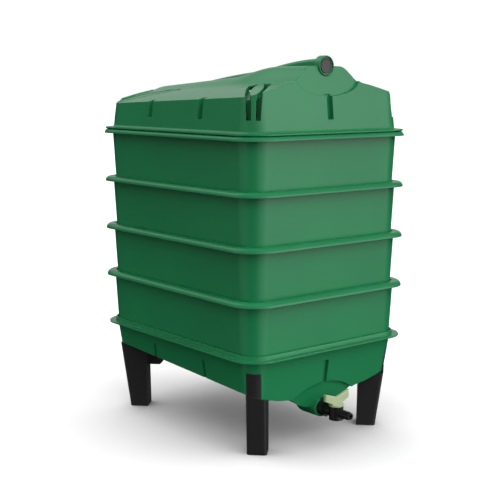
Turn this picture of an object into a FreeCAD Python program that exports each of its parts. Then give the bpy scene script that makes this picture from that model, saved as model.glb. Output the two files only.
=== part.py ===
import FreeCAD
import Part
import math
import os

# A stacking wormery: a lid, four working trays, a collector on four legs and a tap.
# Millimetres, +Z up, floor at z = 0, the tap on the front (-Y) end.

Vec = FreeCAD.Vector
UP = Vec(0, 0, 1)
ALONG_Y = Vec(0, 1, 0)

# Stack plan
rim_width = 442.0        # tray rim across the front, X
rim_length = 551.0       # tray rim front to back, Y
rim_corner = 60.0        # corner radius of the tray rim in plan
tray_count = 4
tray_pitch = 105.0       # rise from one rim to the next
flange_z = 196.5         # underside of the collector's flange above the floor
seat_gap = 0.3           # between a stacked piece and its seat
wall = 3.0               # moulded wall thickness

# Tray section; insets are measured inward from the rim's outer edge
rim_height = 10.0        # rolled rim, underside to top
rim_roll = 10.0          # radius of the roll of the rim
wall_inset = 17.4        # wall outside face just under the rim
wall_lean = 0.056        # inward lean of the walls per unit of height
ledge_drop = 7.0         # stacking ledge below the rim top
ledge_inset = 27.2       # inner edge of the stacking ledge
ledge_depth = 4.0        # ledge thickness at its inner edge
nest_gap = 1.2           # nested skirt to the ledge edge
nest_depth = 23.0        # nested skirt below its shoulder
drain_hole = 4.0         # radius of the worm and drain holes
drain_columns = 9
drain_rows = 11
drain_margin = 30.0      # plate edge to the outermost hole centres

# Lid; heights called rise are above the seat of the lid on the top tray
lid_blank_rise = 170.0   # height of the lid blank before the roof trims it
lid_flange_inset = 2.5
lid_flange_thick = 3.0
lid_wall_inset = 19.9
lid_wall_lean = 0.105
lid_lip_gap = 1.0        # locating lip to the tray wall
lid_lip_thick = 2.6
lid_lip_depth = 5.0
lid_cove = 6.0           # hollow curve between the flange and the lid's wall
eave_rise = 72.2         # roof height at the front eave
eave_inset = 24.0        # where the eave height is taken
crown_rise = 36.0        # crown above the eave
roof_power = 1.75        # shape of the roof curve across
roof_fall = 0.0373       # fall of the roof towards the back
back_crown_rise = 89.4   # crown at the back end
crown_fall = 0.071       # fall of the crown line towards the back
hump_rise = 130.2        # flat top of the front hump
hump_flat = 37.0         # half width of the flat of the hump
hump_foot = 93.0         # half width at the foot of the hump
hump_start = 5.0         # where the hump begins to rise, in front of the middle
hump_full = 145.0        # where the hump is at full height
roof_margin = 9.0        # roof surface beyond the rim before trimming
roof_columns = 41        # points of the roof surface across
roof_rows = 31           # points of the roof surface front to back
bead_height = 2.0        # raised beads along the back edge of the roof
bead_depth = 7.0
bead_inner = 86.0        # inner ends of the beads from the middle
bead_inset = 55.0        # outer ends of the beads

# Ridge bar and its end ring; the line runs from the ring back along the roof
bar_half = 18.0          # half width of the ridge bar
bar_round = 8.0          # rounding of the bar's top edges
bar_line = ((6, 144.1), (66, 141.4), (120, 134.2), (180, 124.2), (252, 116.7), (343, 105.7), (430, 91.7))
bar_foot_rise = 81.7     # underside of the bar blank, inside the lid
ring_rise = 130.7        # axis of the end ring and its plug
ring_radius = 20.0
ring_inset = 36.0        # front face of the end ring
ring_depth = 16.0
ring_round = 2.0
ring_recess_radius = 17.3
ring_recess = 3.0        # depth of the recess round the plug
plug_radius = 14.4
plug_fit = 0.05          # radial running fit of the plug in the ring
plug_depth = 12.0
plug_head_set = 0.6      # plug face behind the ring face
plug_dish = 0.8
plug_dish_radius = 12.6

# Sunk panel, grooves and corner pockets of the lid
panel_half = 84.0        # half width of the sunk front panel
panel_rise = 104.7       # ends of the panel's lower edge
panel_drop = 32.5
panel_sink = 7.0
lid_groove_width = 15.0
lid_groove_depth = 10.0
lid_groove_rise = 26.7   # lower end of the lid grooves
front_groove_height = 49.0
groove_spacing = 176.0   # the two side grooves apart, front to back
pocket_foot_half = 13.5  # half width of the corner pockets of the lid at their foot
pocket_top_half = 16.0
pocket_reach = 28.0      # pocket depth from the corner surface
pocket_rise = 27.7
pocket_height = 46.0     # over which the pocket widens
tongue_half = 4.6
tongue_set = 3.0         # tongue behind the corner surface
# Channel from the pocket up the roof and the leaf in it: (distance from the corner surface, half width)
channel_line = ((0.0, 15.0), (62.0, 21.5), (150.0, 23.5))
leaf_line = ((4.0, 4.6), (73.0, 12.0), (150.0, 4.0))
channel_depth = 11.0     # floor of the channel under the roof
channel_inner = 88.0     # inner end of the channel from the middle of the lid
channel_round = 10.0     # rounding of that end
leaf_set = 0.4           # top of the leaf under the roof

# Collector; heights called drop are below the underside of its flange
flange_inset = 3.5
flange_thick = 3.0
upstand_inset = 17.0     # raised step inside the flange
upstand_rise = 11.1
collector_ledge_rise = 6.5
collector_inset = 22.4   # wall outside face at the underside of the flange
collector_lean = 0.155
collector_blank_drop = 156.5
hopper_front_inset = 30.5
hopper_back_inset = 55.5
hopper_skin = 3.4
# Underside of the collector: (inset, front drop, back drop), then (half width, front drop, back drop)
hopper_wing = ((-9.0, 56.5, 41.5), (31.0, 70.5, 49.5), (57.0, 79.5, 54.5), (85.0, 87.5, 60.0))
hopper_belly = ((108, 93.5, 65.5), (82, 98.5, 69.5), (66, 110.5, 72), (50, 119.5, 74), (36, 123.5, 75.5))
hopper_middle = (124.5, 76.5)
lens_half = 82.0         # half width of the recess round the tap, at its foot
lens_foot_drop = 98.0
lens_rise = 26.0
lens_sink = 6.0
front_groove_width = 11.0
side_groove_width = 9.0
collector_groove_depth = 6.0
collector_groove_drop = 25.5

# Legs: square posts turned to the diagonals of the corners
leg_half = 20.2          # half width across the diagonal
leg_face = 10.0          # outer face beyond the corner's axis, on the floor
leg_back = 30.0          # inner face behind the corner's axis, on the floor
leg_lean = 0.143         # outward lean of the outer face per unit of height
leg_draft = 0.015        # the same for the inner face
leg_round = 6.0          # rounding of the outer edges
leg_shift = 3.0          # posts stand this much inward along X and outward along Y
leg_blank_drop = 31.5    # top of the blank before it is cut to the collector
leg_skin = 3.5
leg_sole = 5.0
hollow_face = 6.5        # outer face of the hollow, which stays behind the strap
hollow_lean = 0.06
strap_half = 14.2        # half width of the strap let into the corner
strap_thick = 3.5
strap_drop = 25.5        # top of the strap
strap_length = 59.0
strap_gap = 0.3
strap_backing = 2.8
arm_reach = 32.0         # bracket arm beyond the post's inner face
arm_half = 6.0
arm_drop = 101.5         # underside of the bracket arm
arm_end_cut = 6.0
leg_trim = 12.0          # leg tops are trimmed this far outside the collector walls

# Tap; its round boss stands out of the collector's front wall
tap_drop = 127.0         # axis of the tap
boss_radius = 20.0
boss_inset = 39.5        # front face of the boss
boss_round = 3.0
boss_depth = 50.0        # front face to the round end of the well behind it
boss_skin = 3.2
boss_wall = 5.0
thread_radius = 10.4
thread_pitch = 1.8
thread_depth = 0.8
thread_hole_gap = 0.35
thread_reach = 17.0      # thread behind the front face of the boss
collar_radius = 16.2
collar_thick = 13.0
neck_radius = 11.5
washer_radius = 15.8
washer_thick = 2.0
nut_across = 26.0
nut_thick = 8.0
nut_fit = 0.05
water_bore = 6.0         # radius of the way in and through the key
tail_bore = 4.2
barrel_reach = 42.0      # barrel axis from the front face of the boss
barrel_radius = 14.6
barrel_over = 13.0       # top of the barrel above the tap axis
barrel_under = 15.0
barrel_floor = 3.0
key_radius = 10.2
key_fit = 0.05
key_gap = 0.3
tail_radius = 6.9
tail_reach = 42.0        # tip of the tail from the barrel axis
barb_radius = 8.9
barb_count = 3
barb_length = 9.0
key_skirt_radius = 15.2
key_skirt = 4.0
wing_half = 32.0
wing_dip = 31.5          # middle of the wings' top above the tap axis
wing_tip = 42.0
wing_foot = 26.5
wing_root = 12.5         # half width where the wings meet the skirt
wing_thick = 8.0
wing_round = 2.0

# Places that follow from the sizes above
half_w = rim_width / 2
half_l = rim_length / 2
axis_x = half_w - rim_corner
axis_y = half_l - rim_corner
collector_ledge_z = flange_z + collector_ledge_rise
bottom_rim_z = collector_ledge_z + ledge_drop - rim_height + tray_pitch
rim_z = [bottom_rim_z + i * tray_pitch for i in range(tray_count)]
lid_seat_z = rim_z[-1] + rim_height + seat_gap
lid_blank_z = lid_seat_z + lid_blank_rise
ring_front = half_l - ring_inset
boss_front = half_l - boss_inset
tap_z = flange_z - tap_drop
barrel_y = boss_front + barrel_reach
barrel_top = tap_z + barrel_over
barrel_foot = tap_z - barrel_under
tail_tip_y = barrel_y + tail_reach
leg_blank_z = flange_z - leg_blank_drop
strap_top = flange_z - strap_drop
# The box of the whole part is centred: the tap reaches further than the rim at the back
stack_y = (tail_tip_y - half_l) / 2


def section_point(inset, z):
    return Vec(half_w - inset, axis_y, z)


def polygon(points):
    """Closed section wire through (inset, z) points."""
    loop = [section_point(inset, z) for inset, z in points]
    return Part.makePolygon(loop + loop[:1])


def sweep_round(wire):
    """Sweep a section round the rounded rectangle of the stack."""
    face = Part.Face(wire)
    corner = Vec(axis_x, axis_y, 0)
    turned = face.copy()
    turned.rotate(corner, UP, 90)
    side = face.extrude(Vec(0, -2 * axis_y, 0))
    end = turned.extrude(Vec(-2 * axis_x, 0, 0))
    quarter = face.revolve(corner, UP, 90)
    halves = [side, end, quarter, mirror_x(side), mirror_y(end)]
    quarters = [mirror_x(quarter), mirror_y(quarter), mirror_x(mirror_y(quarter))]
    return halves[0].multiFuse(halves[1:] + quarters).removeSplitter()


def mirror_x(shape):
    return shape.mirror(Vec(0, 0, 0), Vec(1, 0, 0))


def mirror_y(shape):
    return shape.mirror(Vec(0, 0, 0), Vec(0, 1, 0))


def box(x0, x1, y0, y1, z0, z1):
    return Part.makeBox(x1 - x0, y1 - y0, z1 - z0, Vec(x0, y0, z0))


def cylinder_y(radius, y0, y1, x, z):
    return Part.makeCylinder(radius, y1 - y0, Vec(x, y0, z), ALONG_Y)


def block(low_inset, high_inset, z0, z1):
    """Filled rounded block whose sides lean from one inset to the other."""
    wire = polygon([(low_inset, z0), (high_inset, z1), (rim_corner, z1), (rim_corner, z0)])
    core = box(-axis_x, axis_x, -axis_y, axis_y, z0, z1)
    return sweep_round(wire).fuse(core).removeSplitter()


def on_corner(shape):
    """Turn a shape drawn along -X from the origin onto the front left corner's diagonal."""
    placed = shape.copy()
    placed.rotate(Vec(0, 0, 0), UP, 45)
    placed.translate(Vec(-axis_x, -axis_y, 0))
    return placed


def at_corners(shape):
    return [shape, mirror_x(shape), mirror_y(shape), mirror_x(mirror_y(shape))]


# Trays

def tray_wall_inset(drop):
    """Outside face of the tray wall, drop millimetres below the rim's top."""
    return wall_inset + wall_lean * drop


def make_tray(base_z):
    top = base_z + rim_height
    ledge_top = top - ledge_drop
    shoulder_z = ledge_top - tray_pitch + seat_gap
    foot_z = shoulder_z - nest_depth
    skirt_inset = ledge_inset + nest_gap
    shoulder_out = tray_wall_inset(top - shoulder_z)
    foot_inset = skirt_inset + wall_lean * nest_depth
    ledge_foot = ledge_top - ledge_depth
    ledge_root = ledge_foot - (ledge_inset - wall_inset - wall)
    tip = rim_roll - wall
    at = section_point
    roll_mid = rim_roll * (1 - math.sqrt(0.5))
    inner_mid = wall + tip * (1 - math.sqrt(0.5))
    inner_top = top - wall
    outer_arc = Part.Arc(at(0, base_z), at(roll_mid, top - roll_mid), at(rim_roll, top))
    inner_rise = at(inner_mid, inner_top - tip * (1 - math.sqrt(0.5)))
    inner_arc = Part.Arc(at(rim_roll, inner_top), inner_rise, at(wall, base_z))
    path = [
        at(rim_roll, top),
        at(wall_inset + wall, top),
        at(wall_inset + wall + wall_lean * ledge_drop, ledge_top),
        at(ledge_inset, ledge_top),
        at(ledge_inset, ledge_foot),
        at(tray_wall_inset(top - ledge_root) + wall, ledge_root),
        at(shoulder_out + wall, shoulder_z + wall),
        at(skirt_inset + wall, shoulder_z + wall),
        at(foot_inset + wall, foot_z + wall),
        at(rim_corner, foot_z + wall),
        at(rim_corner, foot_z),
        at(foot_inset, foot_z),
        at(skirt_inset, shoulder_z),
        at(shoulder_out, shoulder_z),
        at(tray_wall_inset(wall), inner_top),
        at(rim_roll, inner_top),
    ]
    edges = [outer_arc.toShape()]
    edges += [Part.makeLine(a, b) for a, b in zip(path, path[1:])]
    edges += [inner_arc.toShape(), Part.makeLine(at(wall, base_z), at(0, base_z))]
    shell = sweep_round(Part.Wire(Part.__sortEdges__(edges)))
    floor = box(-axis_x, axis_x, -axis_y, axis_y, foot_z, foot_z + wall)
    reach_x = half_w - foot_inset - drain_margin
    reach_y = half_l - foot_inset - drain_margin
    holes = []
    for column in range(drain_columns):
        for row in range(drain_rows):
            x = reach_x * (2 * column / (drain_columns - 1) - 1)
            y = reach_y * (2 * row / (drain_rows - 1) - 1)
            holes.append(Part.makeCylinder(drain_hole, 3 * wall, Vec(x, y, foot_z - wall)))
    return shell.fuse(floor).removeSplitter().cut(Part.makeCompound(holes))


# Lid

def smooth(t):
    t = min(1.0, max(0.0, t))
    return t * t * (3 - 2 * t)


def crown(y):
    """Height of the middle of the roof: the crown line, rising into the front hump."""
    line = lid_seat_z + back_crown_rise + crown_fall * (half_l - y)
    rise = smooth((-y - hump_start) / (hump_full - hump_start))
    return line + rise * (lid_seat_z + hump_rise - line)


def roof(x, y):
    across = 1 - (abs(x) / (half_w - eave_inset)) ** roof_power
    base = lid_seat_z + eave_rise + crown_rise * across - roof_fall * (y + half_l)
    t = min(1.0, max(0.0, (abs(x) - hump_flat) / (hump_foot - hump_flat)))
    share = 0.5 * (1 + math.cos(math.pi * t))
    return base + share * (crown(y) - base)


def under_roof(drop):
    """Everything under the roof surface lowered by drop."""
    grid = []
    for i in range(roof_columns):
        x = (half_w + roof_margin) * (2 * i / (roof_columns - 1) - 1)
        row = []
        for j in range(roof_rows):
            y = (half_l + roof_margin) * (2 * j / (roof_rows - 1) - 1)
            row.append(Vec(x, y, roof(x, y) - drop))
        grid.append(row)
    surface = Part.BSplineSurface()
    surface.interpolate(grid)
    return surface.toShape().extrude(UP * -lid_blank_rise)


def lid_inset(z):
    return lid_wall_inset + lid_wall_lean * (z - lid_seat_z)


def lid_block(inset, z0):
    return block(lid_inset(z0) + inset, lid_inset(lid_blank_z) + inset, z0, lid_blank_z)


def ridge_bar(half, drop):
    """Ridge bar from its side outline, its top lowered by drop."""
    base = lid_seat_z - drop
    points = [Vec(-half, behind - ring_front, base + rise) for behind, rise in bar_line]
    points[-1] = points[-1] - ALONG_Y * drop
    curve = Part.BSplineCurve()
    curve.interpolate(points)
    foot_front = Vec(-half, points[0].y, base + bar_foot_rise)
    foot_back = Vec(-half, points[-1].y, base + bar_foot_rise)
    edges = [curve.toShape()]
    edges.append(Part.makeLine(points[-1], foot_back))
    edges.append(Part.makeLine(foot_back, foot_front))
    edges.append(Part.makeLine(foot_front, points[0]))
    face = Part.Face(Part.Wire(Part.__sortEdges__(edges)))
    bar = face.extrude(Vec(2 * half, 0, 0))
    tops = [e for e in bar.Edges if e.BoundBox.YLength > half_l and e.BoundBox.ZLength > wall]
    return bar.makeFillet(bar_round - drop, tops)


def panel_prism(grow):
    """The sunk front panel: half an ellipse below, straight sides above."""
    y0 = -half_l
    panel_z = lid_seat_z + panel_rise
    middle = Vec(0, y0, panel_z)
    right = Vec(panel_half + grow, y0, panel_z)
    left = Vec(-panel_half - grow, y0, panel_z)
    ellipse = Part.Ellipse(right, Vec(0, y0, panel_z + panel_drop + grow), middle)
    low = Part.ArcOfEllipse(ellipse, 0, math.pi).toShape()
    if low.BoundBox.Center.z > panel_z:
        low = Part.ArcOfEllipse(ellipse, math.pi, 2 * math.pi).toShape()
    lift = Vec(0, 0, lid_blank_z - panel_z)
    edges = [low, Part.makeLine(right, right + lift), Part.makeLine(right + lift, left + lift)]
    edges.append(Part.makeLine(left + lift, left))
    return Part.Face(Part.Wire(Part.__sortEdges__(edges))).extrude(Vec(0, rim_corner, 0))


def pocket_radius():
    """Radius of the lid's corner at the foot of the pocket."""
    return rim_corner - lid_inset(lid_seat_z + pocket_rise)


def corner_pocket(grow):
    """Pocket let into the corner, wider at its top."""
    foot = lid_seat_z + pocket_rise - grow
    low = pocket_foot_half + grow
    high = low + (pocket_top_half - pocket_foot_half) * (lid_blank_z - foot) / pocket_height
    corners = [(-low, foot), (low, foot), (high, lid_blank_z), (-high, lid_blank_z), (-low, foot)]
    face = Part.Face(Part.makePolygon([Vec(-rim_corner, y, z) for y, z in corners]))
    return on_corner(face.extrude(Vec(rim_corner + pocket_reach + grow - pocket_radius(), 0, 0)))


def corner_lens(line, grow):
    """Upright prism along the corner's diagonal with two curved sides through the points of a line."""
    left = [Vec(t - pocket_radius(), half + grow, lid_seat_z) for t, half in line]
    right = [Vec(p.x, -p.y, p.z) for p in left]
    edges = [Part.Arc(*left).toShape(), Part.Arc(*right).toShape()]
    edges.append(Part.makeLine(left[0], right[0]))
    edges.append(Part.makeLine(left[-1], right[-1]))
    face = Part.Face(Part.Wire(Part.__sortEdges__(edges)))
    return on_corner(face.extrude(UP * lid_blank_rise))


def corner_channel(grow):
    """Prism of the channel that leads from the pocket to the foot of the hump."""
    end = grow - channel_inner
    prism = corner_lens(channel_line, grow).cut(box(end, half_w, -half_l, half_l, lid_seat_z, lid_blank_z))
    corners = [e for e in prism.Edges if e.BoundBox.XLength < 0.1 and e.BoundBox.YLength < 0.1]
    corners = [e for e in corners if abs(e.BoundBox.Center.x - end) < 0.1]
    return prism.makeFillet(channel_round + grow, corners)


def corner_tongue():
    """Upright tongue in the pocket, under the outer end of the leaf."""
    foot = lid_seat_z + pocket_rise - wall / 2
    inner = pocket_reach + wall / 2 - pocket_radius()
    return on_corner(box(-rim_corner, inner, -tongue_half, tongue_half, foot, lid_blank_z))


def wall_grooves(width_side, width_front, z0, z1_side, z1_front, grow):
    """Boxes of the upright grooves: two on each long side and one in the front."""
    boxes = []
    for y in (-groove_spacing / 2, groove_spacing / 2):
        half = width_side / 2 + grow
        side = box(-half_w, -axis_x + wall, y - half, y + half, z0 - grow, z1_side + grow)
        boxes += [side, mirror_x(side)]
    half = width_front / 2 + grow
    boxes.append(box(-half, half, -half_l, -axis_y + wall, z0 - grow, z1_front + grow))
    return boxes


def roof_beads(blank):
    """Low beads that edge the back of the roof, left and right."""
    y1 = half_l - lid_inset(lid_seat_z + eave_rise)
    outer = half_w - bead_inset
    left = box(-outer, -bead_inner, y1 - bead_depth, half_l, lid_seat_z, lid_blank_z)
    raised = blank.common(under_roof(-bead_height))
    return [raised.common(left), raised.common(mirror_x(left))]


def make_lid():
    seat = lid_seat_z
    low = seat - rim_height
    outer_walls = lid_block(0, seat)
    inner_walls = lid_block(wall, low)
    inner = inner_walls.common(under_roof(wall))
    body = outer_walls.common(under_roof(0)).multiFuse([ridge_bar(bar_half, 0)] + roof_beads(outer_walls))

    foot = seat + lid_groove_rise
    top = lid_blank_z - wall
    width = lid_groove_width
    grooves = wall_grooves(width, width, foot, top, foot + front_groove_height, 0)
    guards = wall_grooves(width, width, foot, top, foot + front_groove_height, wall)
    groove_band = outer_walls.cut(lid_block(lid_groove_depth, low))
    guard_band = inner_walls.cut(lid_block(lid_groove_depth + wall, low - wall))
    panel_band = outer_walls.cut(lid_block(panel_sink, low))
    panel_guard = inner_walls.cut(lid_block(panel_sink + wall, low - wall))

    cuts = [g.common(groove_band) for g in grooves]
    cuts.append(panel_prism(0).common(panel_band))
    below_floor = under_roof(channel_depth)
    cuts += at_corners(corner_pocket(0))
    cuts += [c.cut(below_floor) for c in at_corners(corner_channel(0))]
    kept = [g.common(guard_band) for g in guards]
    kept.append(panel_prism(wall).common(panel_guard))
    kept += at_corners(corner_pocket(wall))
    below_guard = under_roof(channel_depth + wall)
    guard = corner_channel(wall).cut(corner_lens(leaf_line, -wall))
    kept += [g.cut(below_guard) for g in at_corners(guard)]
    inner = inner.cut(Part.makeCompound(kept))
    body = body.cut(Part.makeCompound(cuts))

    tongue_limit = lid_block(tongue_set, seat).common(under_roof(leaf_set))
    below_leaf = under_roof(channel_depth + wall / 2)
    leaves = [leaf.cut(below_leaf) for leaf in at_corners(corner_lens(leaf_line, 0))]
    tongues = [t.common(tongue_limit) for t in at_corners(corner_tongue()) + leaves]
    body = body.multiFuse(tongues)
    body = body.cut(inner).cut(ridge_bar(bar_half - wall, wall))

    lip_out = wall_inset + wall + lid_lip_gap
    lip_in = lip_out + lid_lip_thick
    flange_top = seat + lid_flange_thick
    cove_top = flange_top + lid_cove
    foot_inset = lid_inset(cove_top)
    at = section_point
    middle = lid_cove * math.sqrt(0.5)
    cove_foot = at(foot_inset - lid_cove, flange_top)
    cove_middle = at(foot_inset - lid_cove + middle, cove_top - middle)
    cove = Part.Arc(cove_foot, cove_middle, at(foot_inset, cove_top))
    path = [
        at(foot_inset, cove_top),
        at(foot_inset + wall, cove_top),
        at(lip_in, flange_top),
        at(lip_in, seat - lid_lip_depth),
        at(lip_out, seat - lid_lip_depth),
        at(lip_out, seat),
        at(lid_flange_inset, seat),
        at(lid_flange_inset, flange_top),
        cove_foot,
    ]
    edges = [cove.toShape()] + [Part.makeLine(a, b) for a, b in zip(path, path[1:])]
    flange = sweep_round(Part.Wire(Part.__sortEdges__(edges)))
    ring_z = lid_seat_z + ring_rise
    ring = cylinder_y(ring_radius, -ring_front, ring_depth - ring_front, 0, ring_z)
    front_edge = [e for e in ring.Edges if e.BoundBox.YLength < 0.1 and e.BoundBox.Center.y < 0.1 - ring_front]
    ring = ring.makeFillet(ring_round, front_edge)
    bore = cylinder_y(plug_radius + plug_fit, -ring_front - wall, plug_depth - ring_front, 0, ring_z)
    recess = cylinder_y(ring_recess_radius, -half_l, ring_recess - ring_front, 0, ring_z)
    return body.fuse(flange).fuse(ring).removeSplitter().cut(bore).cut(recess)


def make_lid_plug():
    ring_z = lid_seat_z + ring_rise
    face = plug_head_set - ring_front
    plug = cylinder_y(plug_radius, face, plug_depth - ring_front, 0, ring_z)
    dish = cylinder_y(plug_dish_radius, face - wall, face + plug_dish, 0, ring_z)
    return plug.cut(dish)


# Collector

def collector_wall_inset(z):
    return collector_inset + collector_lean * (flange_z - z)


def collector_block(inset):
    foot = flange_z - collector_blank_drop
    low = collector_wall_inset(foot) + inset
    high = collector_wall_inset(flange_z) + inset
    return block(low, high, foot, flange_z)


def above_hopper(lift):
    """Everything above the sloping underside of the collector, raised by lift."""
    line = [(half_w - inset, front, back) for inset, front, back in hopper_wing]
    line += list(hopper_belly) + [(0.0,) + hopper_middle]
    front_y = half_l - hopper_front_inset
    back_y = half_l - hopper_back_inset
    reach = half_l + rim_corner
    wires = []
    for y in (-reach, reach):
        share = (y + front_y) / (front_y + back_y)
        half = [(x, flange_z + lift - front - share * (back - front)) for x, front, back in line]
        points = [Vec(-x, y, z) for x, z in half] + [Vec(x, y, z) for x, z in reversed(half[:-1])]
        curve = Part.BSplineCurve()
        curve.interpolate(points)
        top = [points[-1], Vec(points[-1].x, y, bottom_rim_z), Vec(points[0].x, y, bottom_rim_z), points[0]]
        edges = [curve.toShape()]
        edges += [Part.makeLine(a, b) for a, b in zip(top, top[1:])]
        wires.append(Part.Wire(edges))
    return Part.makeLoft(wires, True, True)


def tap_well(radius, y0):
    """Round bottomed well along the tap axis from y0 back to a round end."""
    end = boss_depth - boss_front
    tube = cylinder_y(radius, y0, end, 0, tap_z)
    return tube.fuse(Part.makeSphere(radius, Vec(0, end, tap_z)))


def tap_lens(grow):
    radius = (lens_half ** 2 + lens_rise ** 2) / (2 * lens_rise)
    middle_z = flange_z - lens_foot_drop + lens_rise - radius
    return cylinder_y(radius + grow, -half_l, -axis_y + rim_corner / 2, 0, middle_z)


def corner_strap(grow_side, grow_deep, z0, z1):
    """Piece of the collector's corner skin that the leg strap fills."""
    skin = collector_block(0).cut(collector_block(strap_thick + grow_deep))
    half = strap_half + grow_side
    return skin.common(on_corner(box(-rim_corner, 0, -half, half, z0, z1)))


def make_collector():
    ledge_foot = collector_ledge_z - ledge_depth
    root_z = ledge_foot - (ledge_inset - wall_inset - wall)
    outer_walls = collector_block(0)
    inner_walls = collector_block(wall)
    depth = collector_groove_depth

    foot = flange_z - collector_blank_drop
    top = flange_z - collector_groove_drop
    grooves = wall_grooves(side_groove_width, front_groove_width, foot, top, top, 0)
    guards = wall_grooves(side_groove_width, front_groove_width, foot, top, top, wall)
    lens = tap_lens(0).common(outer_walls.cut(collector_block(lens_sink)))
    lens_guard = tap_lens(wall).common(inner_walls.cut(collector_block(lens_sink + wall)))
    groove_band = outer_walls.cut(collector_block(depth))
    guard_band = inner_walls.cut(collector_block(depth + wall))

    body = outer_walls.common(above_hopper(0)).cut(lens)
    cuts = [g.common(groove_band) for g in grooves]
    kept = [g.common(guard_band) for g in guards]
    strap = corner_strap(strap_gap, strap_gap, 0, strap_top + strap_gap)
    guard = corner_strap(strap_gap + wall, strap_gap + strap_backing, 0, strap_top + strap_gap + wall)
    cuts += at_corners(strap)
    kept += at_corners(guard)
    kept.append(lens_guard)
    inner = inner_walls.common(above_hopper(hopper_skin)).cut(Part.makeCompound(kept))
    boss = tap_well(boss_radius, -boss_front)
    front_edge = [e for e in boss.Edges if e.BoundBox.YLength < 0.1 and e.BoundBox.Center.y < 0.1 - boss_front]
    body = body.fuse(boss.makeFillet(boss_round, front_edge))
    body = body.cut(Part.makeCompound(cuts)).cut(inner)
    body = body.cut(tap_well(boss_radius - boss_skin, boss_wall - boss_front))
    hole = thread_radius + thread_hole_gap
    body = body.cut(cylinder_y(hole, -boss_front - wall, boss_depth - boss_front, 0, tap_z))

    at_root = collector_wall_inset(root_z)
    rim = sweep_round(polygon([
        (flange_inset, flange_z),
        (flange_inset, flange_z + flange_thick),
        (upstand_inset, flange_z + flange_thick),
        (upstand_inset + wall_lean * rim_height, flange_z + upstand_rise),
        (wall_inset + wall, flange_z + upstand_rise),
        (wall_inset + wall, collector_ledge_z),
        (ledge_inset, collector_ledge_z),
        (ledge_inset, ledge_foot),
        (at_root + wall, root_z),
        (at_root, root_z),
        (collector_inset, flange_z),
    ]))
    return body.fuse(rim).removeSplitter()


# Legs

def leg_plan(z, face, lean, skin):
    """Plan of a leg at height z, drawn along -X outward from the corner's axis."""
    outer = -face - lean * z
    inner = leg_back - leg_draft * z - skin
    half = leg_half - skin
    radius = leg_round - skin
    cut = radius * (1 - math.sqrt(0.5))

    def at(x, y):
        return Vec(x, y, z)

    loop = [at(outer + radius, half), at(inner, half), at(inner, -half), at(outer + radius, -half)]
    edges = [Part.makeLine(a, b) for a, b in zip(loop, loop[1:])]
    edges.append(Part.Arc(loop[3], at(outer + cut, cut - half), at(outer, radius - half)).toShape())
    edges.append(Part.makeLine(at(outer, radius - half), at(outer, half - radius)))
    edges.append(Part.Arc(at(outer, half - radius), at(outer + cut, half - cut), loop[0]).toShape())
    return Part.Wire(edges)


def leg_form(face, lean, skin, z0):
    return Part.makeLoft([leg_plan(z0, face, lean, skin), leg_plan(leg_blank_z, face, lean, skin)], True, True)


def make_legs():
    """Hollow posts cut to the collector, each with its arm under the hopper and its corner strap."""
    arm_z = flange_z - arm_drop
    root = leg_back - leg_skin
    end = leg_back + arm_reach
    arm = Part.makePolygon([
        Vec(root, -arm_half, arm_z),
        Vec(end - arm_end_cut, -arm_half, arm_z),
        Vec(end, -arm_half, arm_z + arm_end_cut),
        Vec(end, -arm_half, leg_blank_z),
        Vec(root, -arm_half, leg_blank_z),
        Vec(root, -arm_half, arm_z),
    ])
    arm = Part.Face(arm).extrude(Vec(0, 2 * arm_half, 0))
    hollow = leg_form(hollow_face, hollow_lean, leg_skin, leg_sole)
    post = on_corner(leg_form(leg_face, leg_lean, 0, 0).fuse(arm).cut(hollow))
    post.translate(Vec(leg_shift, -leg_shift, 0))
    strap = corner_strap(0, 0, strap_top - strap_length, strap_top)
    seat = collector_block(-leg_trim).common(above_hopper(0)).fuse(tap_well(boss_radius, -boss_front))
    seat.translate(UP * -seat_gap)
    legs = []
    for blank, tongue in zip(at_corners(post), at_corners(strap)):
        legs.append(blank.cut(seat).fuse(tongue).removeSplitter())
    return legs


# Tap

def make_tap_body():
    front = washer_thick + boss_front
    inlet_y = boss_front - thread_reach
    outline = [Vec(0, -inlet_y, tap_z)]
    y = -inlet_y
    r = thread_radius
    outline.append(Vec(r - thread_depth, y, tap_z))
    turns = int((thread_reach - thread_pitch) / thread_pitch)
    for turn in range(turns):
        crest = y - turn * thread_pitch - thread_pitch / 2
        outline.append(Vec(r, crest, tap_z))
        outline.append(Vec(r - thread_depth, crest - thread_pitch / 2, tap_z))
    outline += [
        Vec(r - thread_depth, -front, tap_z),
        Vec(collar_radius, -front, tap_z),
        Vec(collar_radius, -front - collar_thick, tap_z),
        Vec(neck_radius, -front - collar_thick, tap_z),
        Vec(neck_radius, -barrel_y, tap_z),
        Vec(0, -barrel_y, tap_z),
    ]
    inlet = Part.Face(Part.makePolygon(outline + outline[:1])).revolve(Vec(0, 0, tap_z), ALONG_Y, 360)
    barrel = Part.makeCylinder(barrel_radius, barrel_top - barrel_foot, Vec(0, -barrel_y, barrel_foot))
    first = tail_tip_y - barb_count * barb_length
    outline = [Vec(0, -barrel_y, tap_z), Vec(tail_radius, -barrel_y, tap_z), Vec(tail_radius, -first, tap_z)]
    for barb in range(barb_count):
        start = first + barb * barb_length
        outline.append(Vec(barb_radius, -start, tap_z))
        outline.append(Vec(tail_radius, -start - barb_length, tap_z))
    outline.append(Vec(0, -tail_tip_y, tap_z))
    tail = Part.Face(Part.makePolygon(outline + outline[:1])).revolve(Vec(0, 0, tap_z), ALONG_Y, 360)
    body = inlet.fuse(barrel).fuse(tail).removeSplitter()
    key_foot = barrel_foot + barrel_floor
    seat = Part.makeCylinder(key_radius + key_fit, barrel_top, Vec(0, -barrel_y, key_foot))
    way_in = cylinder_y(water_bore, -barrel_y, -inlet_y + wall, 0, tap_z)
    way_out = cylinder_y(tail_bore, -tail_tip_y - wall, -barrel_y, 0, tap_z)
    return body.cut(seat).cut(way_in).cut(way_out)


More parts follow.
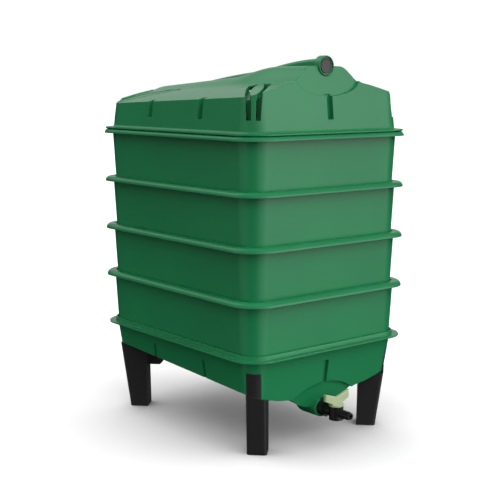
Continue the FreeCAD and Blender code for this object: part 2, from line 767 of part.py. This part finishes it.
def make_tap_key():
    foot = barrel_foot + barrel_floor + key_gap
    skirt_z = barrel_top + key_gap
    skirt_top = skirt_z + key_skirt
    middle = Vec(0, -barrel_y, 0)
    plug = Part.makeCylinder(key_radius, skirt_z - foot, middle + UP * foot)
    skirt = Part.makeCylinder(key_skirt_radius, key_skirt, middle + UP * skirt_z)
    y = -barrel_y - wing_thick / 2

    def at(x, z):
        return Vec(x, y, z)

    tip_z = tap_z + wing_tip
    foot_z = tap_z + wing_foot
    line = [
        at(0, tap_z + wing_dip),
        at(wing_half, tip_z),
        at(wing_half, foot_z),
        at(wing_root, skirt_top),
        at(-wing_root, skirt_top),
        at(-wing_half, foot_z),
        at(-wing_half, tip_z),
        at(0, tap_z + wing_dip),
    ]
    wings = Part.Face(Part.makePolygon(line)).extrude(Vec(0, wing_thick, 0))
    ends = [e for e in wings.Edges if e.BoundBox.YLength < 0.1 and e.BoundBox.Center.z > skirt_top + 0.1]
    wings = wings.makeFillet(wing_round, ends)
    key = plug.fuse([skirt, wings]).removeSplitter()
    across = Part.makeCylinder(water_bore, 4 * key_radius, Vec(-2 * key_radius, -barrel_y, tap_z), Vec(1, 0, 0))
    return key.cut(across)


def make_tap_washer():
    ring = cylinder_y(washer_radius, -boss_front - washer_thick, -boss_front, 0, tap_z)
    return ring.cut(cylinder_y(thread_radius + thread_hole_gap, -half_l - wall, 0, 0, tap_z))


def make_tap_nut():
    back = boss_wall - boss_front
    corners = []
    for i in range(7):
        angle = math.radians(60 * i)
        radius = nut_across / math.sqrt(3)
        corners.append(Vec(radius * math.cos(angle), back, tap_z + radius * math.sin(angle)))
    nut = Part.Face(Part.makePolygon(corners)).extrude(Vec(0, nut_thick, 0))
    return nut.cut(cylinder_y(thread_radius + nut_fit, back - wall, back + 2 * nut_thick, 0, tap_z))


def save(name, shape):
    placed = shape.copy()
    placed.translate(Vec(0, stack_y, 0))
    placed.exportStep("parts/" + name + ".step")


os.makedirs("parts", exist_ok=True)
for number, base_z in enumerate(rim_z, start=1):
    save("tray_%d" % number, make_tray(base_z))
save("lid", make_lid())
save("lid_end_plug", make_lid_plug())
save("collector_tray", make_collector())
for name, leg in zip(("front_left", "front_right", "back_left", "back_right"), make_legs()):
    save("leg_" + name, leg)
save("tap_body", make_tap_body())
save("tap_key", make_tap_key())
save("tap_washer", make_tap_washer())
save("tap_nut", make_tap_nut())
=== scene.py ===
import bpy
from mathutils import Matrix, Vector

# The looks of a stacking wormery: moulded plastic, a plain studio and the camera.
# Metres, the same frame as the model, the tap at the -Y end.

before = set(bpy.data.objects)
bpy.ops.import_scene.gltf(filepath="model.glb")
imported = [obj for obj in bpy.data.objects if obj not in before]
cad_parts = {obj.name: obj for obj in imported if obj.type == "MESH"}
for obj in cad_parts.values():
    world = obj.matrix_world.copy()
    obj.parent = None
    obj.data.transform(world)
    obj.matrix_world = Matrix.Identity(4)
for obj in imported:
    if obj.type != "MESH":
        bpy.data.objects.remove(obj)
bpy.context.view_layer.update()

# Camera, from the perspective of the tray rims in the photograph
camera_place = Vector((-1.4470, -1.7740, 0.7270))
camera_target = Vector((0.0, 0.0223, 0.3707))
camera_lens = 77.0
camera_sensor = 36.0
camera_reach = 200.0

# Studio light on the surfaces, on top of an even room.
# Each soft box: direction, the cosines off it where it starts and where it is full, strength.
room_light = 0.75
softboxes = (
    ((0.269, -0.963, 0.0), (-0.20, 1.05), 1.65),    # wide key light in front of the tap
    ((0.936, 0.351, 0.0), (0.10, 0.95), 0.60),      # fill from the right
    ((0.0, 0.0, 1.0), (0.30, 1.00), 0.75),          # from above
)
# What gloss picks up, in the same terms
room_gloss = 0.010
gloss_boxes = (
    ((0.187, -0.982, 0.0), (0.71, 0.97), 0.90),     # in front of the tap
    ((0.569, -0.818, 0.087), (0.88, 0.985), 1.50),  # bright, further to the right
    ((-0.944, 0.329, 0.0), (0.77, 0.93), 0.32),     # faint, on the left
    ((-0.228, 0.601, 0.766), (0.86, 0.96), 1.30),   # high up behind
    ((0.620, 0.760, 0.200), (0.80, 0.97), 0.65),    # low behind, for the roof
)
backdrop_white = 1.0

# Floor: white to the camera, dark to the light that it sends back
floor_size = 60.0
floor_white = 0.83
floor_bounce = 0.05
floor_mottle = 0.01
floor_mottle_scale = 30.0
# Painted shadow: the floor's colour is darker where the object covers it towards shade_way
shade_way = (-0.27, 0.60, 0.75)
shade_reach = 0.7
shade_depth = 0.55
shade_edges = (0.15, 0.95)
shade_rays = 16

# Finishes: linear colour and roughness
green = ((0.0083, 0.181, 0.0625), 0.32)
leg_grey = ((0.016, 0.016, 0.016), 0.50)
tap_black = ((0.008, 0.008, 0.008), 0.35)
handle_cream = ((0.36, 0.43, 0.25), 0.38)
washer_black = ((0.006, 0.006, 0.006), 0.60)
plug_brown = ((0.059, 0.054, 0.054), 0.55)

# Moulded plastic: how much its colour, gloss and surface vary, with scales of noise per metre
cloud_scale = 4.0
cloud_edges = (0.30, 0.70)
cloud_depth = 0.06
speck_scale = 260.0
speck_edges = (0.35, 0.75)
speck_share = 0.10
speck_shade = 0.70
# Pale edges: partly wear, partly a painted highlight along convex edges
wear_and_highlight_turn = (0.995, 0.90)
wear_and_highlight_scale = 45.0
wear_and_highlight_edges = (0.35, 0.65)
wear_and_highlight_keep = 0.80
wear_and_highlight_pale = 0.0875
wave_scale = 9.0
wave_bump = 0.25
wave_height = 0.0012
rub_scale = 12.0
rub_stretch = (3.0, 3.0, 60.0)
gloss_spread = 0.05
grain_height = 0.0004
edge_rays = 6


class Tree:
    """A short way to add nodes to a material or the world."""

    def __init__(self, owner):
        owner.use_nodes = True
        self.tree = owner.node_tree
        self.tree.nodes.clear()

    def node(self, kind, **settings):
        made = self.tree.nodes.new(kind)
        for name, value in settings.items():
            setattr(made, name, value)
        return made

    def link(self, out, into):
        self.tree.links.new(out, into)

    def put(self, socket, value):
        if hasattr(value, "is_output"):
            self.link(value, socket)
        else:
            socket.default_value = value

    def math(self, operation, a, b):
        made = self.node("ShaderNodeMath", operation=operation)
        self.put(made.inputs[0], a)
        self.put(made.inputs[1], b)
        return made.outputs[0]

    def dot(self, a, b):
        made = self.node("ShaderNodeVectorMath", operation="DOT_PRODUCT")
        self.put(made.inputs[0], a)
        self.put(made.inputs[1], b)
        return made.outputs["Value"]

    def smooth(self, value, edges, to_high=1.0):
        """A smooth step from 0 at the first edge to to_high at the second."""
        made = self.node("ShaderNodeMapRange", interpolation_type="SMOOTHSTEP")
        self.put(made.inputs["Value"], value)
        made.inputs["From Min"].default_value = edges[0]
        made.inputs["From Max"].default_value = edges[1]
        made.inputs["To Min"].default_value = 0.0
        made.inputs["To Max"].default_value = to_high
        return made.outputs["Result"]

    def noise(self, where, scale, detail=2.0, roughness=0.5, shift=0.0):
        made = self.node("ShaderNodeTexNoise", noise_dimensions="4D")
        self.put(made.inputs["Vector"], where)
        made.inputs["Scale"].default_value = scale
        made.inputs["Detail"].default_value = detail
        made.inputs["Roughness"].default_value = roughness
        made.inputs["W"].default_value = shift
        return made.outputs["Fac"]

    def stretch(self, where, scale):
        made = self.node("ShaderNodeMapping")
        self.put(made.inputs["Vector"], where)
        made.inputs["Scale"].default_value = scale
        return made.outputs["Vector"]

    def mix(self, share, a, b):
        made = self.node("ShaderNodeMix", data_type="RGBA")
        self.put(made.inputs[0], share)
        self.put(made.inputs[6], a)
        self.put(made.inputs[7], b)
        return made.outputs[2]

    def bump(self, height, strength, distance, normal):
        made = self.node("ShaderNodeBump")
        made.inputs["Strength"].default_value = strength
        made.inputs["Distance"].default_value = distance
        self.link(height, made.inputs["Height"])
        self.link(normal, made.inputs["Normal"])
        return made.outputs["Normal"]


def rgba(colour):
    return (colour[0], colour[1], colour[2], 1.0)


def grey(level):
    return (level, level, level, 1.0)


def shade(colour, factor):
    return tuple(channel * factor for channel in colour)


def plastic(name, finish, seed, grain=0.06, grain_scale=700.0, edge=0.0015, wear_and_highlight=0.18):
    """Moulded plastic: faint clouding, fine grain, slow waves in the gloss, and pale edges that are partly wear
    and partly a painted highlight.
    """
    colour, roughness = finish
    material = bpy.data.materials.new(name)
    t = Tree(material)
    out = t.node("ShaderNodeOutputMaterial")
    skin = t.node("ShaderNodeBsdfPrincipled")
    t.link(skin.outputs["BSDF"], out.inputs["Surface"])
    where = t.node("ShaderNodeTexCoord").outputs["Object"]

    clouds = t.smooth(t.noise(where, cloud_scale, detail=3.0, shift=seed), cloud_edges)
    specks = t.smooth(t.noise(where, speck_scale, shift=seed + 3.0), speck_edges, speck_share)
    base = t.mix(clouds, rgba(shade(colour, 1 - cloud_depth)), rgba(shade(colour, 1 + cloud_depth)))
    base = t.mix(specks, base, rgba(shade(colour, speck_shade)))

    # Edges are paler where the rounded surface turns away from the flat one: partly wear, partly a painted
    # highlight along the edge
    rounded = t.node("ShaderNodeBevel", samples=edge_rays)
    rounded.inputs["Radius"].default_value = edge
    flat = t.node("ShaderNodeNewGeometry").outputs["True Normal"]
    turned = t.smooth(t.dot(rounded.outputs["Normal"], flat), wear_and_highlight_turn)
    patches = t.smooth(t.noise(where, wear_and_highlight_scale, 4.0, 0.6, seed), wear_and_highlight_edges)
    worn_and_highlit = rgba([wear_and_highlight_keep * channel + wear_and_highlight_pale for channel in colour])
    base = t.mix(t.math("MULTIPLY", t.math("MULTIPLY", turned, patches), wear_and_highlight), base, worn_and_highlit)
    t.link(base, skin.inputs["Base Color"])

    waves = t.noise(where, wave_scale, shift=seed + 7.0)
    rubs = t.noise(t.stretch(where, rub_stretch), rub_scale, detail=5.0, roughness=0.65, shift=seed + 11.0)
    rough = t.math("ADD", roughness - gloss_spread, t.math("MULTIPLY", waves, gloss_spread))
    rough = t.math("ADD", rough, t.math("MULTIPLY", rubs, gloss_spread))
    t.link(rough, skin.inputs["Roughness"])

    fine = t.noise(where, grain_scale, roughness=0.6, shift=seed + 5.0)
    wavy = t.bump(waves, wave_bump, wave_height, rounded.outputs["Normal"])
    t.link(t.bump(fine, grain, grain_height, wavy), skin.inputs["Normal"])
    return material


def dress(material, *nodes):
    """Give nodes of the model their finish."""
    for node in nodes:
        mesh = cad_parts[node].data
        mesh.materials.clear()
        mesh.materials.append(material)


def dress_model():
    for index in range(1, 5):
        dress(plastic("green_tray_%d" % index, green, 10.0 * index), "tray_%d" % index)
    dress(plastic("green_lid", green, 60.0), "lid")
    dress(plastic("green_collector", green, 70.0), "collector_tray")
    dress(
        plastic("leg_grey", leg_grey, 80.0, grain=0.15, grain_scale=450.0, wear_and_highlight=0.25),
        "leg_front_left", "leg_front_right", "leg_back_left", "leg_back_right",
    )
    dress(plastic("tap_black", tap_black, 90.0, edge=0.0006, wear_and_highlight=0.15), "tap_body", "tap_nut")
    dress(plastic("handle_cream", handle_cream, 100.0, edge=0.0008, wear_and_highlight=0.05), "tap_key")
    dress(plastic("washer_rubber", washer_black, 110.0, grain=0.2, edge=0.0004), "tap_washer")
    dress(plastic("plug_brown", plug_brown, 120.0, edge=0.0006), "lid_end_plug")


def floor_paint():
    material = bpy.data.materials.new("floor_white")
    t = Tree(material)
    seen = t.node("ShaderNodeLightPath").outputs["Is Camera Ray"]
    mottle = t.noise(t.node("ShaderNodeTexCoord").outputs["Object"], floor_mottle_scale, 3.0)
    way = t.node("ShaderNodeCombineXYZ")
    for index, part in enumerate(shade_way):
        way.inputs[index].default_value = part
    # Painted shadow on the floor: its colour turns grey where ambient occlusion towards shade_way is low
    shadow_occlusion = t.node("ShaderNodeAmbientOcclusion", samples=shade_rays)
    shadow_occlusion.inputs["Distance"].default_value = shade_reach
    t.link(way.outputs[0], shadow_occlusion.inputs["Normal"])
    painted_shadow_level = floor_white * shade_depth
    open_white = t.mix(mottle, grey(floor_white - floor_mottle), grey(floor_white + floor_mottle))
    painted_shadow_grey = t.mix(mottle, grey(painted_shadow_level), grey(painted_shadow_level + floor_mottle))
    colour = t.mix(t.smooth(shadow_occlusion.outputs["AO"], shade_edges), painted_shadow_grey, open_white)
    paint = t.node("ShaderNodeBsdfDiffuse")
    t.put(paint.inputs["Color"], t.mix(seen, grey(floor_bounce), colour))
    out = t.node("ShaderNodeOutputMaterial")
    t.link(paint.outputs[0], out.inputs["Surface"])
    return material


def make_floor():
    half = floor_size / 2
    corners = [(-half, -half, 0), (half, -half, 0), (half, half, 0), (-half, half, 0)]
    mesh = bpy.data.meshes.new("floor")
    mesh.from_pydata(corners, [], [(0, 1, 2, 3)])
    mesh.materials.append(floor_paint())
    floor = bpy.data.objects.new("floor", mesh)
    floor.visible_glossy = False
    bpy.context.scene.collection.objects.link(floor)


def light_of(t, way, room, boxes):
    """The even room and its soft boxes, as seen along a direction."""
    light = room
    for toward, edges, strength in boxes:
        light = t.math("ADD", t.smooth(t.dot(way, toward), edges, strength), light)
    return light


def make_world():
    """White to the camera, with separate soft boxes for the surfaces and for their gloss."""
    world = bpy.data.worlds.new("studio")
    bpy.context.scene.world = world
    world.cycles.sampling_method = "NONE"
    t = Tree(world)
    way = t.node("ShaderNodeTexCoord").outputs["Generated"]
    path = t.node("ShaderNodeLightPath")
    glossy = path.outputs["Is Glossy Ray"]
    straight = t.math("MAXIMUM", path.outputs["Is Camera Ray"], path.outputs["Is Transmission Ray"])
    diffuse_share = t.math("MULTIPLY", light_of(t, way, room_light, softboxes), t.math("SUBTRACT", 1.0, glossy))
    gloss_share = t.math("MULTIPLY", light_of(t, way, room_gloss, gloss_boxes), glossy)
    lit = t.math("ADD", gloss_share, diffuse_share)
    lit = t.math("MULTIPLY", lit, t.math("SUBTRACT", 1.0, straight))
    back = t.node("ShaderNodeBackground")
    t.put(back.inputs["Color"], grey(1.0))
    t.put(back.inputs["Strength"], t.math("ADD", lit, t.math("MULTIPLY", straight, backdrop_white)))
    out = t.node("ShaderNodeOutputWorld")
    t.link(back.outputs[0], out.inputs["Surface"])


def make_camera():
    data = bpy.data.cameras.new("camera")
    data.lens = camera_lens
    data.sensor_width = camera_sensor
    data.sensor_fit = "HORIZONTAL"
    data.clip_end = camera_reach
    camera = bpy.data.objects.new("camera", data)
    camera.location = camera_place
    camera.rotation_euler = (camera_target - camera_place).to_track_quat("-Z", "Y").to_euler()
    bpy.context.scene.collection.objects.link(camera)
    bpy.context.scene.camera = camera


dress_model()
make_floor()
make_world()
make_camera()
bpy.context.scene.view_settings.view_transform = "Standard"
